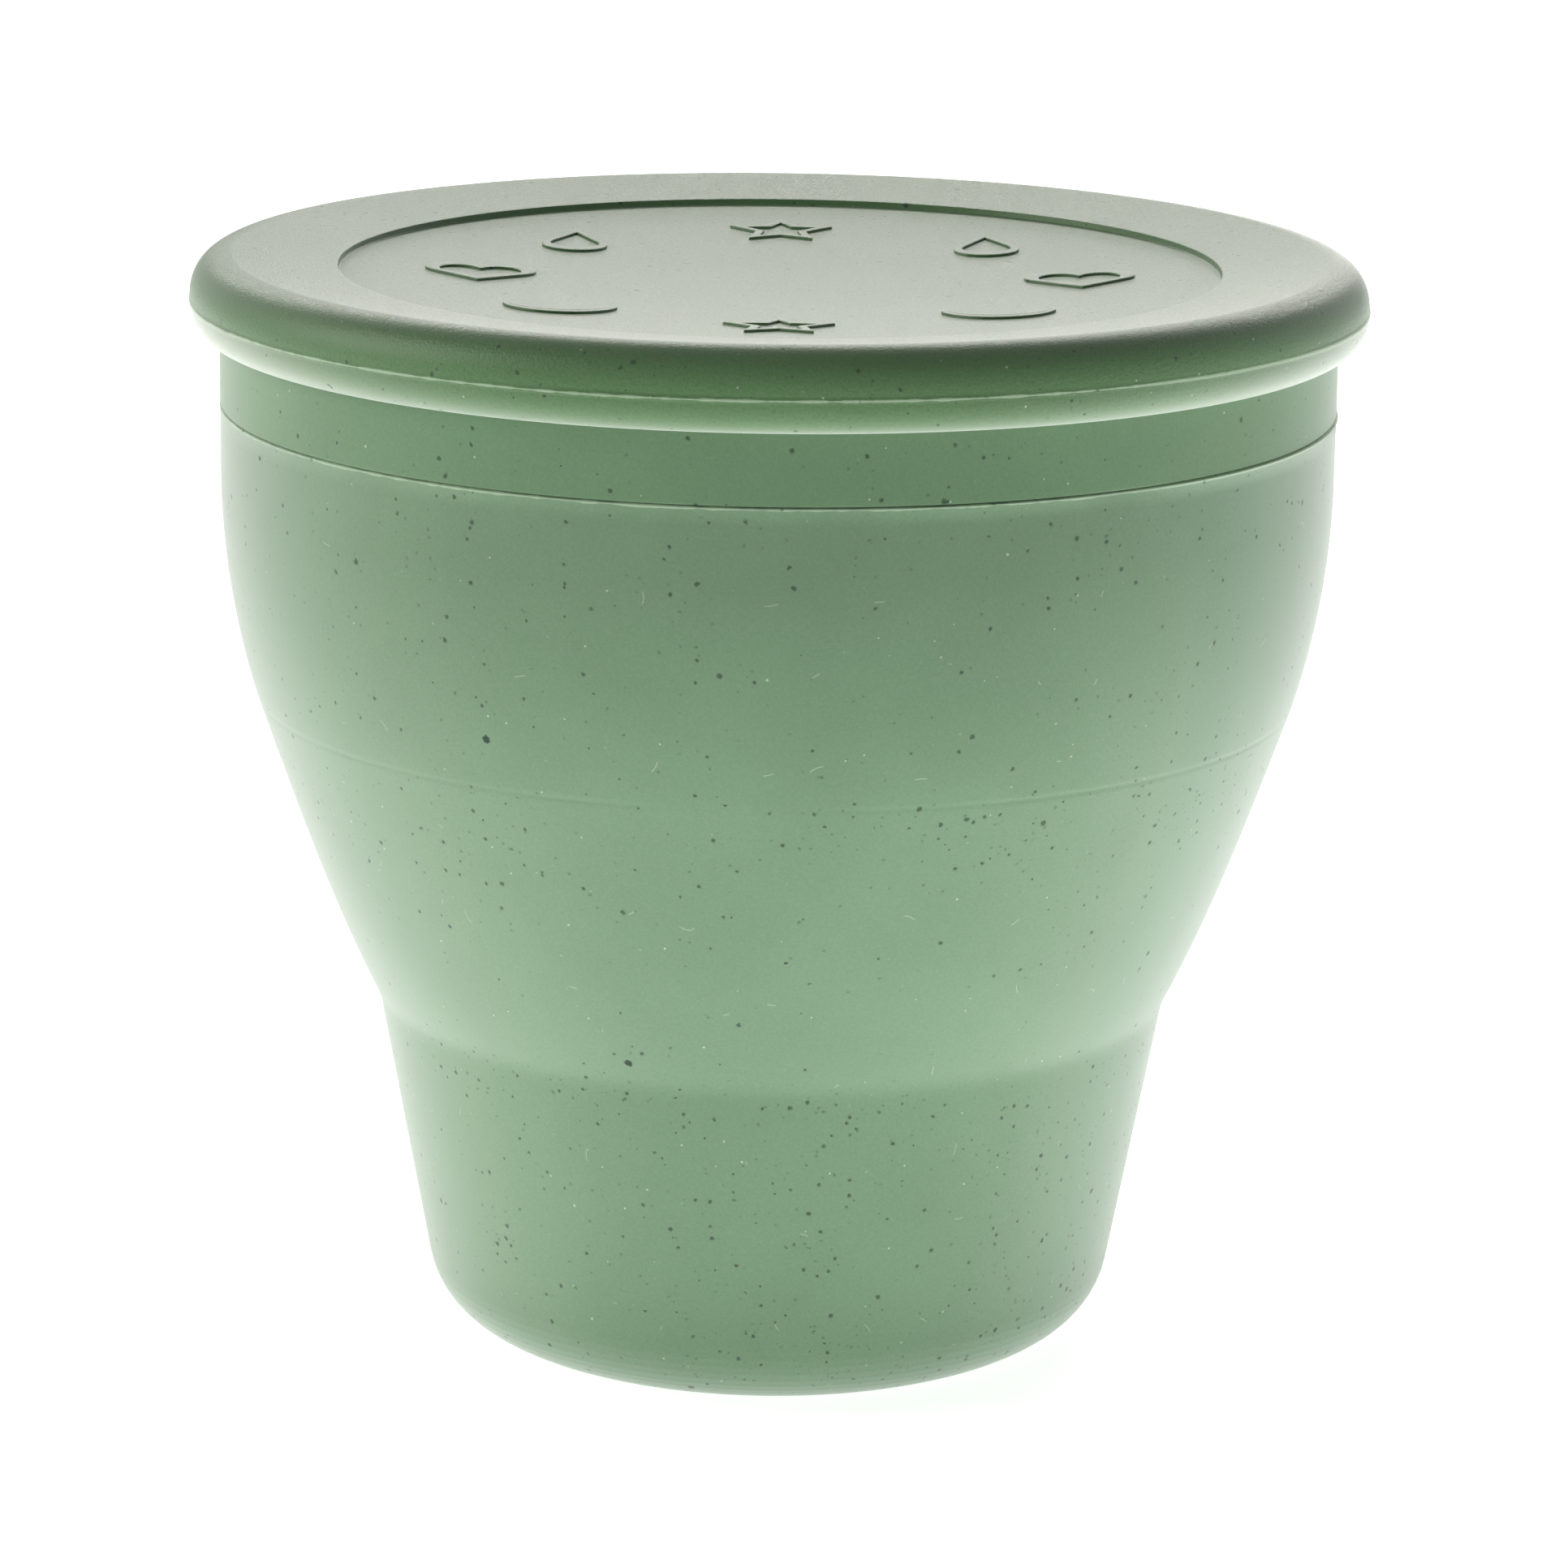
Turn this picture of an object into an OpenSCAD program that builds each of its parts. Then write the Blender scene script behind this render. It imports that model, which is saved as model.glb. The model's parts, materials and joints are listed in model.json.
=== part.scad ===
// Collapsible silicone snack cup for a toddler, all sizes in millimetres.
// Three mouldings: a cup that folds down on itself at two thin creases, a snack lid
// whose middle is cut into eight springy flaps, and a thick round-edged cover.
// A moulding that bends is cut at its creases into the pieces that move against each other.
// The origin is the middle of the foot, +Z is up and -Y is the front.

/* [Cup] */
// Outer diameter of the foot, where its wall would meet the table
foot_d = 55.2; // [44:0.1:64]
// How far the foot's wall leans out by the time it reaches the lower crease
foot_flare = 5.25; // [3:0.05:8]
// Height of the lower crease
foot_h = 28.6; // [20:0.1:36]
// How far the fold leans out between the two creases
fold_flare = 9.95; // [8:0.05:13]
// Height of the fold, from the lower crease to the upper
fold_h = 25.5; // [20:0.1:32]
// Lean of the fold from upright just below the upper crease, in degrees
fold_lean = 19; // [10:0.5:24]
// How late the fold curls over towards the lower crease, as the power of its curve
fold_curl = 3.5; // [2:0.5:5]
// How far the bowl leans out above the upper crease
bowl_flare = 2.8; // [1.5:0.05:5]
// Height of the round part of the bowl, from the upper crease to where it is upright
bowl_h = 18.6; // [14:0.1:24]
// Height of the upright part, up to the shoulder that the snack lid rests on
upright_h = 5.5; // [4:0.1:12]

/* [Walls] */
// Wall of the cup away from its creases
cup_wall = 2; // [1.6:0.1:2.6]
// Wall left at a crease
crease_wall = 1; // [0.7:0.1:1.4]
// Length over which the wall thins towards a crease
crease_run = 5; // [3:0.5:8]
// Thickness of the cup's floor
floor_t = 2.4; // [1.8:0.1:4]
// Radius inside the cup between floor and wall
floor_round = 5; // [2:0.5:6]
// Radius of the foot's outer edge
foot_round = 7; // [2:0.5:8]
// From the foot's outer edge in to the hollow of its underside, wider than its rounding
foot_ring_w = 9.5; // [9.5:0.5:12]
// Depth of that hollow, round which the cup stands on a flat ring
foot_hollow_t = 0.6; // [0.3:0.1:1]

/* [Neck and snack lid] */
// Height of the neck above the shoulder
neck_h = 6.5; // [5:0.1:9]
// Wall of the neck
neck_wall = 1.8; // [1.4:0.1:2.4]
// Wall of the snack lid's outer skirt
skirt_wall = 1.5; // [1:0.1:2]
// Wall of the snack lid's inner lip
lip_wall = 1.5; // [1:0.1:2]
// How far the inner lip reaches down into the neck
lip_h = 2.4; // [1.8:0.1:4]
// Thickness of the snack lid's rim above the neck
rim_t = 2.45; // [2.2:0.05:4]
// Depth of the dish between the rim and the membrane
dish_h = 2; // [1.5:0.1:2.8]
// Thickness of the membrane and its flaps
membrane_t = 1.4; // [1:0.1:1.8]
// Gap all round between pieces that push together
push_gap = 0.15; // [0.05:0.05:0.3]

/* [Flaps] */
// Number of flaps
flap_n = 8; // [6:1:8]
// Width of the membrane left round the flaps
border_w = 15.5; // [10:0.5:20]
// Width of the slits between the flaps
slit_w = 0.35; // [0.3:0.05:0.6]
// Radius of the hole that ends each slit
slit_end_r = 1.2; // [1:0.1:1.6]
// Depth of the groove along a flap's root
root_groove_t = 0.7; // [0.4:0.1:0.9]
// Width of that groove
root_groove_w = 1.6; // [1.2:0.1:2.4]

/* [Cover] */
// How far the cover's round edge stands out over the bowl
cover_overhang = 2.4; // [1.8:0.1:5]
// Thickness of the cover above the snack lid's rim
cover_t = 3.1; // [2.6:0.1:4]
// How far the cover's edge reaches down over the rim
cover_lap = 3.4; // [2.8:0.1:5]
// Height of the cover's parting line above its lower edge
cover_line_h = 2.8; // [2:0.1:4]
// Width of the rounding from the side to the top
cover_round_w = 3.4; // [2:0.1:5]
// Width of the top between that rounding and the sunk panel
cover_rim_w = 8.7; // [5:0.1:12]
// Depth of the panel's edge
panel_step = 0.45; // [0.3:0.05:0.6]
// Fall of the top from its rounded edge to the panel
top_fall = 0.65; // [0:0.05:0.8]
// Wall of the ring that plugs the snack lid's dish
plug_wall = 1.6; // [1:0.1:2.4]
// Gap left below that ring
plug_gap = 0.4; // [0.2:0.1:0.8]

/* [Raised figures] */
// From the panel's edge in to the middles of the figures
figure_inset = 11.4; // [8:0.1:15]
// Half the width of a figure
figure_r = 4.6; // [3:0.1:5.5]
// Width of a figure's line
figure_line = 1; // [0.6:0.1:1.4]
// Height of the figures over the panel
figure_t = 0.25; // [0.2:0.05:0.6]

/* [Edges] */
// How far the thin moulding ridges stand out
ridge_t = 0.14; // [0.05:0.01:0.25]
// Height of a moulding ridge
ridge_h = 0.3; // [0.2:0.05:0.5]
// Rounding of the edges of the lids
edge_round = 0.8; // [0.5:0.1:1]
// Rounding of small inner corners
small_round = 0.4; // [0.2:0.05:0.5]

/* [Hidden] */
$fn = 128;

// Radii and heights of the cup, from the foot up
foot_r = foot_d / 2;
lower_r = foot_r + foot_flare;
upper_r = lower_r + fold_flare;
bowl_r = upper_r + bowl_flare;
upper_h = foot_h + fold_h;
belly_h = upper_h + bowl_h;
shoulder_h = belly_h + upright_h;
foot_lean = atan2(foot_flare, foot_h);

// Neck and snack lid, from the outside inwards and from the shoulder upwards
skirt_in_r = bowl_r - skirt_wall;
neck_out_r = skirt_in_r - push_gap;
neck_in_r = neck_out_r - neck_wall;
lip_out_r = neck_in_r - push_gap;
dish_r = lip_out_r - lip_wall;
flap_l = dish_r - border_w;
neck_top = shoulder_h + neck_h;
lip_low = neck_top - lip_h;
rim_low = neck_top + push_gap;
rim_top = rim_low + rim_t;
membrane_top = rim_top - dish_h;
membrane_low = membrane_top - membrane_t;

// Cover, whose underside rests on the rim
cover_r = bowl_r + cover_overhang;
cover_in_r = bowl_r + push_gap;
cover_top = rim_top + cover_t;
cover_low = rim_top - cover_lap;
cover_line = cover_low + cover_line_h;
panel_r = cover_r - cover_round_w - cover_rim_w;
panel_edge = cover_top - top_fall;
panel_floor = panel_edge - panel_step;
plug_out_r = dish_r - push_gap;
plug_in_r = plug_out_r - plug_wall;
plug_h = dish_h - plug_gap;
figure_ring_r = panel_r - figure_inset;

// The bowl is an arc that leaves the upright wall at belly_h and ends at the upper crease
bowl_arc_r = (pow(bowl_flare, 2) + pow(bowl_h, 2)) / (2 * bowl_flare);

// What the fold's curl has to draw in for its wall to end on the lower crease
fold_draw = fold_flare - fold_h * tan(fold_lean);

steps = 14;
half_turn = 180 / flap_n;

cup_colour = [0.45, 0.57, 0.45];
lid_colour = [0.41, 0.53, 0.41];
cover_colour = [0.33, 0.44, 0.31];

// Numbers from a to b in equal steps, both ends included
function spread(a, b, n = steps) = [for (i = [0:n]) a + (b - a) * i / n];

// The points of a list, last one first
function backwards(list) = [for (i = [len(list) - 1:-1:0]) list[i]];

// Points on an ellipse arc about a centre, from angle a to angle b
function curve(centre, rx, rz, a, b, n = steps) =
    [for (t = spread(a, b, n)) centre + [rx * cos(t), rz * sin(t)]];

// 0 to 1 with a smooth start and end
function ease(t) = let (u = max(0, min(1, t))) u * u * (3 - 2 * u);

// Outer radius of the cup at a height, for each of its three zones
function foot_out(z) = foot_r + foot_flare * z / foot_h;
function fold_out(z) = upper_r - (upper_h - z) * tan(fold_lean) - fold_draw * pow((upper_h - z) / fold_h, fold_curl);
function bowl_out(z) = z >= belly_h ? bowl_r
    : bowl_r - bowl_arc_r + sqrt(pow(bowl_arc_r, 2) - pow(belly_h - z, 2));

// Wall at a distance along the height from the nearest crease
function wall_at(d) = crease_wall + (cup_wall - crease_wall) * ease(d / crease_run);
function fold_wall(z) = min(wall_at(z - foot_h), wall_at(upper_h - z));

// Foot and lowest cone of the cup, up to the lower crease
module cup_base() {
    ring_in_r = foot_r - foot_ring_w;
    corner_r = foot_out(foot_round) - foot_round / cos(foot_lean);
    inner_h = floor_t + floor_round;
    inner_r = foot_out(inner_h) - cup_wall - floor_round / cos(foot_lean);
    thinning = spread(foot_h, foot_h - crease_run, 8);
    color(cup_colour)
    rotate_extrude()
    polygon(concat(
        [[0, foot_hollow_t], [ring_in_r - foot_hollow_t, foot_hollow_t], [ring_in_r, 0]],
        curve([corner_r, foot_round], foot_round, foot_round, -90, -foot_lean, 10),
        [[lower_r, foot_h]],
        [for (z = thinning) [foot_out(z) - wall_at(foot_h - z), z]],
        backwards(curve([inner_r, inner_h], floor_round, floor_round, -90, -foot_lean, 8)),
        [[0, floor_t]]));
}

// The band between the creases, which turns inside out when the cup is pushed down
module fold_band() {
    heights = spread(foot_h, upper_h, 22);
    color(cup_colour)
    rotate_extrude()
    polygon(concat([for (z = heights) [fold_out(z), z]],
                   [for (z = backwards(heights)) [fold_out(z) - fold_wall(z), z]]));
}

// The bowl above the upper crease, its shoulder and the neck that the snack lid pushes on
module cup_bowl() {
    heights = spread(upper_h, belly_h);
    neck_round = neck_wall / 2;
    neck_foot = shoulder_h - small_round;
    ledge = curve([neck_out_r + small_round, shoulder_h + small_round], small_round, small_round, -90, -180, 4);
    color(cup_colour)
    rotate_extrude()
    polygon(concat(
        [for (z = heights) [bowl_out(z), z]],
        [[bowl_r, shoulder_h - ridge_h], [bowl_r + ridge_t, shoulder_h - ridge_h / 2], [bowl_r, shoulder_h]],
        ledge,
        curve([neck_out_r - neck_round, neck_top - neck_round], neck_round, neck_round, 0, 180, 10),
        [[neck_in_r, neck_foot]],
        [for (z = backwards(heights)) [bowl_out(z) - wall_at(z - upper_h), z]]));
}

// One flap's outline, seen from above and pointing along +X from the middle to its root
module flap_outline() {
    half_w = flap_l * tan(half_turn) - slit_w / 2 / cos(half_turn);
    polygon([[slit_w / 2 / sin(half_turn), 0], [flap_l, -half_w], [flap_l, half_w]]);
}

// The hole at the end of each slit and the groove along each root, cut from flaps and ring alike
module slit_end(height) {
    rotate(half_turn)
    translate([flap_l / cos(half_turn), 0, membrane_low - height])
    cylinder(r = slit_end_r, h = membrane_t + 2 * height);
}

module root_groove() {
    translate([flap_l, 0, membrane_top])
    rotate([90, 0, 0])
    linear_extrude(2 * flap_l * tan(half_turn), center = true)
    polygon([[-root_groove_w, root_groove_t], [0, -root_groove_t], [root_groove_w, root_groove_t]]);
}

// The snack lid without its flaps: skirt, rim, inner lip and membrane with a many-sided hole
module snack_lid() {
    skirt_round = small_round / 2;
    color(lid_colour)
    difference() {
        rotate_extrude()
        polygon(concat(
            [[0, membrane_low], [dish_r - small_round, membrane_low]],
            [[dish_r, membrane_low - small_round], [dish_r, lip_low]],
            curve([lip_out_r - small_round, lip_low + small_round], small_round, small_round, -90, 0, 5),
            [[lip_out_r, rim_low], [skirt_in_r, rim_low]],
            [[skirt_in_r, shoulder_h + 2 * small_round], [skirt_in_r + small_round, shoulder_h]],
            curve([bowl_r - skirt_round, shoulder_h + skirt_round], skirt_round, skirt_round, -90, 0, 4),
            curve([bowl_r - edge_round, rim_top - edge_round], edge_round, edge_round, 0, 90, 8),
            curve([dish_r + small_round, rim_top - small_round], small_round, small_round, 90, 180, 5),
            curve([dish_r - small_round, membrane_top + small_round], small_round, small_round, 0, -90, 5),
            [[0, membrane_top]]));
        translate([0, 0, membrane_low - 1])
        linear_extrude(membrane_t + 2)
        rotate(half_turn)
        circle(r = flap_l / cos(half_turn), $fn = flap_n);
        for (i = [1:flap_n]) rotate(2 * half_turn * i) {
            slit_end(1);
            root_groove();
        }
    }
}

// A flap, hinged along its root on the edge of the membrane's hole
module petal(i) {
    if (i <= flap_n)
        color(lid_colour)
        rotate(2 * half_turn * (i - 1))
        difference() {
            translate([0, 0, membrane_low])
            linear_extrude(membrane_t)
            flap_outline();
            slit_end(1);
            rotate(-2 * half_turn) slit_end(1);
            root_groove();
        }
}

// Closed outlines of the figures for the cover, each fitting a circle of radius r
function star_points(r) = [for (i = [0:9]) (i % 2 == 0 ? r : r * 0.5) * [sin(36 * i), cos(36 * i)]];

function drop_points(r) =
    let (round_r = r * 0.6, low = r - round_r, touch = asin(round_r / (r + low)))
    concat([[0, r]], curve([0, -low], round_r, round_r, 180 - touch, 360 + touch, 12));

function heart_points(r) =
    let (lobe = r * 0.5, side = lobe * 0.98, up = r * 0.3)
    concat([[0, -r * 0.85]],
           curve([side, up], lobe, lobe, -42, 160, 10),
           curve([-side, up], lobe, lobe, 20, 222, 10));

function smile_points(r) =
    concat(curve([0, r * 0.45], r, r, 190, 350, 12),
           curve([0, r * 1.05], r * 1.15, r * 1.15, 318, 222, 10));

function figure_points(kind, r) = kind == "star" ? star_points(r)
    : kind == "drop" ? drop_points(r) : kind == "heart" ? heart_points(r) : smile_points(r);

// Only the line round a figure, or all of one that is thin already
module figure(kind) {
    inner_r = figure_r - figure_line * (kind == "star" ? 1.6 : 1.2);
    difference() {
        polygon(figure_points(kind, figure_r));
        if (kind != "smile") polygon(figure_points(kind, inner_r));
    }
}

// Eight small upright figures in a ring, the same on its left and right
module figures() {
    kinds = ["star", "drop", "heart", "smile", "star", "smile", "heart", "drop"];
    turn = 360 / len(kinds);
    for (i = [0:len(kinds) - 1])
        rotate(turn * i) translate([0, figure_ring_r]) rotate(-turn * i) figure(kinds[i]);
}

// The cover: a disc with a thick rounded edge, a sunk panel with figures and a plug ring below
module cover() {
    low_w = cover_r - cover_in_r - small_round / 2;
    line_h = cover_line - cover_low;
    color(cover_colour) {
        rotate_extrude()
        polygon(concat(
            [[0, rim_top], [plug_in_r, rim_top], [plug_in_r + small_round, rim_top - plug_h]],
            curve([plug_out_r - small_round, rim_top - plug_h + small_round], small_round, small_round, -90, 0, 4),
            [[plug_out_r, rim_top], [cover_in_r - small_round, rim_top]],
            [[cover_in_r, rim_top - small_round], [cover_in_r, cover_low]],
            curve([cover_r - low_w, cover_line - ridge_h / 2], low_w, line_h - ridge_h / 2, -90, 0, 12),
            [[cover_r + ridge_t, cover_line]],
            curve([cover_r - cover_round_w, cover_line + ridge_h / 2],
                  cover_round_w, cover_top - cover_line - ridge_h / 2, 0, 90, 16),
            [[panel_r + small_round, panel_edge], [panel_r, panel_edge - small_round / 2]],
            [[panel_r, panel_floor], [0, panel_floor]]));
        translate([0, 0, panel_floor - panel_step])
        linear_extrude(panel_step + figure_t)
        figures();
    }
}

cup_base();
fold_band();
cup_bowl();
snack_lid();
petal(1);  // petal_1
petal(2);  // petal_2
petal(3);  // petal_3
petal(4);  // petal_4
petal(5);  // petal_5
petal(6);  // petal_6
petal(7);  // petal_7
petal(8);  // petal_8
cover();
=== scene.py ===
# %% [markdown]
# # A folding silicone snack cup
#
# The real object is three mouldings of matte green silicone: a cup with two thin creases, at which it
# folds down on itself, a snack lid with springy flaps, and a thick round-edged cover. This script dresses
# the measured frame of that cup with smooth surfaces and a speckled silicone finish, and lights it in a
# white studio. Every length below is in millimetres until it goes into a mesh.

# %% Load the frame
import json
import math

import bpy
import numpy as np
from mathutils import Matrix, Vector

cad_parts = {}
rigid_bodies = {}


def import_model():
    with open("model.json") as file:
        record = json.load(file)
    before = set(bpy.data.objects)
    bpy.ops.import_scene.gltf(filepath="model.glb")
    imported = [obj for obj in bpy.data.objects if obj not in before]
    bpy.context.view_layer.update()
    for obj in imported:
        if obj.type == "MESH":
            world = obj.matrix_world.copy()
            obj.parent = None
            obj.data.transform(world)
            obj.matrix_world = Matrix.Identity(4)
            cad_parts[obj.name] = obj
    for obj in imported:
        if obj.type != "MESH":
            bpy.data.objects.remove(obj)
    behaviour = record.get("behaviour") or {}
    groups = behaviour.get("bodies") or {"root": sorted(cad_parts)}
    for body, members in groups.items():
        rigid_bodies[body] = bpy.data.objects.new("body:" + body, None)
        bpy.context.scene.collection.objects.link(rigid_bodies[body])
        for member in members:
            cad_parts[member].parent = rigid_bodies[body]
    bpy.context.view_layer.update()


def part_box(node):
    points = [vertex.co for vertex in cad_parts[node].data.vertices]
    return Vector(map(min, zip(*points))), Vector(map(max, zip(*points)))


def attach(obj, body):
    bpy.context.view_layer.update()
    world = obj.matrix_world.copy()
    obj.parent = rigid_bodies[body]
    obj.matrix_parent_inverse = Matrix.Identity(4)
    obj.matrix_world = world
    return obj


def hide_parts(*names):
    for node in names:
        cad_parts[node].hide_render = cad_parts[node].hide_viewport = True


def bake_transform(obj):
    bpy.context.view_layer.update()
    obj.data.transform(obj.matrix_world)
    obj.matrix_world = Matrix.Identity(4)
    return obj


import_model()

MM = 0.001

# %% [markdown]
# The frame already knows how big everything is, so the script asks it and does not repeat the numbers.
# A round piece is described by three of them: its outer radius and its lowest and highest height.


# %% Sizes read from the frame
def extent(node):
    """Outer radius, lowest and highest height of a round node, in millimetres."""
    low, high = (np.array(corner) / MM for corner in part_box(node))
    return (high[:2] - low[:2]).max() / 2, low[2], high[2]


LOWER_R, _, LOWER_H = extent("cup_base")
UPPER_R, _, UPPER_H = extent("fold_band")
BOWL_RIDGE_R, _, NECK_TOP = extent("cup_bowl")
BOWL_R, SHOULDER, RIM_TOP = extent("snack_lid")
COVER_RIDGE_R, COVER_LOW, COVER_TOP = extent("cover")
FLAP_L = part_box("petal_1")[1][0] / MM
MEMBRANE_LOW, MEMBRANE_TOP = (corner[2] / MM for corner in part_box("petal_1"))
print(f"cup {2 * BOWL_R:.1f} across, {COVER_TOP:.1f} tall, creases at {LOWER_H:.1f} and {UPPER_H:.1f}")

# %% [markdown]
# The camera comes next. A long lens looks down on the cup from about half a metre, a little rolled, as
# a hand-held product camera is. Blender wants the direction its sensor faces as three axes, so the cell
# builds them: right, up and backwards.

# %% Camera
IMAGE_SIDE = 1932
FOCAL_PX = 7356.5
LENS_SHIFT = 0.0017
PITCH, ROLL = math.radians(13.97), math.radians(0.73)
CAMERA_AT = Vector((0.64, -482.8, 165.75)) * MM
LEVEL_RIGHT = Vector((1, 0, 0))
LEVEL_UP = Vector((0, math.sin(PITCH), math.cos(PITCH)))
right = LEVEL_RIGHT * math.cos(ROLL) + LEVEL_UP * math.sin(ROLL)
up = LEVEL_UP * math.cos(ROLL) - LEVEL_RIGHT * math.sin(ROLL)

lens = bpy.data.cameras.new("studio_camera")
lens.sensor_width = 36
lens.lens = FOCAL_PX / IMAGE_SIDE * lens.sensor_width
lens.shift_x = LENS_SHIFT
lens.clip_start, lens.clip_end = 0.01, 20
camera = bpy.data.objects.new("studio_camera", lens)
facing = Matrix((right, up, right.cross(up))).transposed().to_4x4()
camera.matrix_world = Matrix.Translation(CAMERA_AT) @ facing
bpy.context.collection.objects.link(camera)
bpy.context.scene.camera = camera
print(f"lens {lens.lens:.1f} mm, {math.degrees(PITCH):.1f} degrees down")

# %% [markdown]
# ## Shapes
#
# Almost every surface here is a section carried round the axis, which is how the steel mould was turned.
# The section could be drawn in Blender and spun, but a computed grid gives full control: rows run along
# the section, columns run round the axis, and one array expression places every point. `surface` turns
# such a grid into a closed mesh, and the sign of the enclosed volume tells whether it faces outwards.


# %% From a grid of points to a mesh
def volume(points, faces):
    """Volume between the faces and the origin: the sum of a . (b x c) / 6 over their triangles."""
    total = 0
    for k in range(1, faces.shape[1] - 1):
        a, b, c = (points[faces[:, corner]] for corner in (0, k, k + 1))
        total += (a * np.cross(b, c)).sum() / 6
    return total


def make_mesh(name, points, face_groups):
    """A smooth mesh in metres that faces outwards and remembers where each point was at rest."""
    if sum(volume(points, faces) for faces in face_groups) < 0:
        face_groups = [faces[:, ::-1] for faces in face_groups]
    mesh = bpy.data.meshes.new(name)
    mesh.from_pydata((points * MM).tolist(), [], sum((faces.tolist() for faces in face_groups), []))
    mesh.shade_smooth()
    rest = mesh.attributes.new("rest", "FLOAT_VECTOR", "POINT")
    rest.data.foreach_set("vector", (points * MM).astype(np.float32).ravel())
    piece = bpy.data.objects.new(name, mesh)
    bpy.context.collection.objects.link(piece)
    return piece


def surface(name, grid, wrap_rows=False, poles=()):
    """A mesh from grid[row, column], whose columns close on themselves.

    With wrap_rows the last row joins the first. Otherwise poles names the two points that close the
    first and the last row with triangles.
    """
    rows, columns = grid.shape[:2]
    index = np.arange(rows * columns).reshape(rows, columns)
    here = index if wrap_rows else index[:-1]
    there = np.roll(index, -1, 0) if wrap_rows else index[1:]
    quads = np.stack([here, np.roll(here, -1, 1), np.roll(there, -1, 1), there], -1).reshape(-1, 4)
    points, face_groups = grid.reshape(-1, 3), [quads]
    for pole, row, step in zip(poles, (index[0], index[-1]), (-1, 1)):
        fan = np.stack([row, np.roll(row, -step), np.full(columns, len(points))], -1)
        face_groups.append(fan[:, ::step])
        points = np.vstack([points, pole])
    return make_mesh(name, points, face_groups)


# %% [markdown]
# A turned section is a list of corners, most of them rounded. `rounded` swaps each corner for an arc,
# and `spaced` splits long stretches and puts a point close to each end of them. Those close points keep
# the shading of a flat stretch flat, because smooth shading blends only across the nearest face.


# %% Sections
def rounded(corners, radii, steps=6):
    """A closed or open line of corners, each replaced by an arc of its radius that touches both sides."""
    corners = np.asarray(corners, float)
    line = [corners[:1]]
    for before, corner, after, radius in zip(corners, corners[1:], corners[2:], radii[1:]):
        one, two = before - corner, after - corner
        one, two = one / np.linalg.norm(one), two / np.linalg.norm(two)
        half = math.acos(np.clip(one @ two, -1, 1)) / 2
        if radius <= 0 or half > math.radians(89.5):
            line.append(corner[None])
            continue
        middle = corner + (one + two) / np.linalg.norm(one + two) * radius / math.sin(half)
        start = corner + one * radius / math.tan(half) - middle
        end = corner + two * radius / math.tan(half) - middle
        turn = math.pi - 2 * half
        t = np.linspace(0, 1, steps + 1)[:, None]
        line.append(middle + (np.sin((1 - t) * turn) * start + np.sin(t * turn) * end) / math.sin(turn))
    line.append(corners[-1:])
    return np.concatenate(line)


def spaced(line, longest=1.5, near=0.12):
    """The line with more points: none further apart than longest, and one near each end of a stretch."""
    pieces = []
    for a, b in zip(line, line[1:]):
        length = np.linalg.norm(b - a)
        inner = np.linspace(0, 1, max(2, math.ceil(length / longest) + 1))[:-1]
        if length > 4 * near:
            inner = np.unique(np.concatenate([inner, [near / length, 1 - near / length]]))
        pieces.append(a + inner[:, None] * (b - a))
    return np.concatenate(pieces + [line[-1:]])


def turned(line, angles, wander=0):
    """A section carried round the axis: x = r cos a, y = r sin a, z = h, where wander widens r."""
    radius = line[:, :1] + wander
    height = line[:, 1:] + 0 * angles
    return np.stack([radius * np.cos(angles), radius * np.sin(angles), height], -1)


COLUMNS = 256
ROUND = np.linspace(0, 2 * np.pi, COLUMNS, endpoint=False)


# %% [markdown]
# Moulding ridges are never even: where the two halves of a mould meet, silicone creeps into the gap,
# more in one place than in the next. `uneven` makes a smooth wave round the axis from a few sines with
# chosen phases, the same at 0 and 360 degrees, so a ridge can swell and thin out without a seam.


# %% Uneven moulding ridges
def uneven(angles, seed, low, high):
    """A periodic wave between low and high: the sum of sines of 3 to 61 turns, each with its own phase."""
    random = np.random.default_rng(seed)
    turns = np.array([3, 5, 8, 13, 23, 37, 61])
    phase = random.uniform(0, 2 * np.pi, len(turns))
    wave = (np.sin(turns[:, None] * angles + phase[:, None]) / np.sqrt(turns)[:, None]).sum(0)
    wave = (wave - wave.min()) / (wave.max() - wave.min())
    return low + (high - low) * wave


def ridge_rows(line, height, half_height, outside):
    """1 on the rows of a section at a height, 0 beyond half_height from it, on its outside only."""
    bump = np.clip(1 - np.abs(line[:, 1] - height) / half_height, 0, 1)
    return (bump * (line[:, 0] > outside))[:, None]


# %% [markdown]
# ### The cup
#
# The cup is one moulding, so it is one skin here, from the foot over both creases to the neck and back
# down inside. Its wall leans out in three ways: straight in the foot, then a fold that starts steeply
# and straightens, then a bowl that is an arc of a circle. The wall is 2 mm thick and thins to 1 mm at
# each crease, because that is where it bends.

# %% The cup's wall as formulas
FOOT_R, FOLD_LEAN, FOLD_CURL = 27.6, math.radians(19), 3.5
UPRIGHT_H = 5.5
BELLY_H = SHOULDER - UPRIGHT_H
CUP_WALL, CREASE_WALL, CREASE_RUN = 2.0, 1.0, 5.0
BOWL_FLARE = BOWL_R - UPPER_R
BOWL_ARC_R = (BOWL_FLARE**2 + (BELLY_H - UPPER_H) ** 2) / (2 * BOWL_FLARE)


def ease(t):
    """0 to 1 with a level start and end: t squared times (3 - 2 t)."""
    t = np.clip(t, 0, 1)
    return t * t * (3 - 2 * t)


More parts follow.
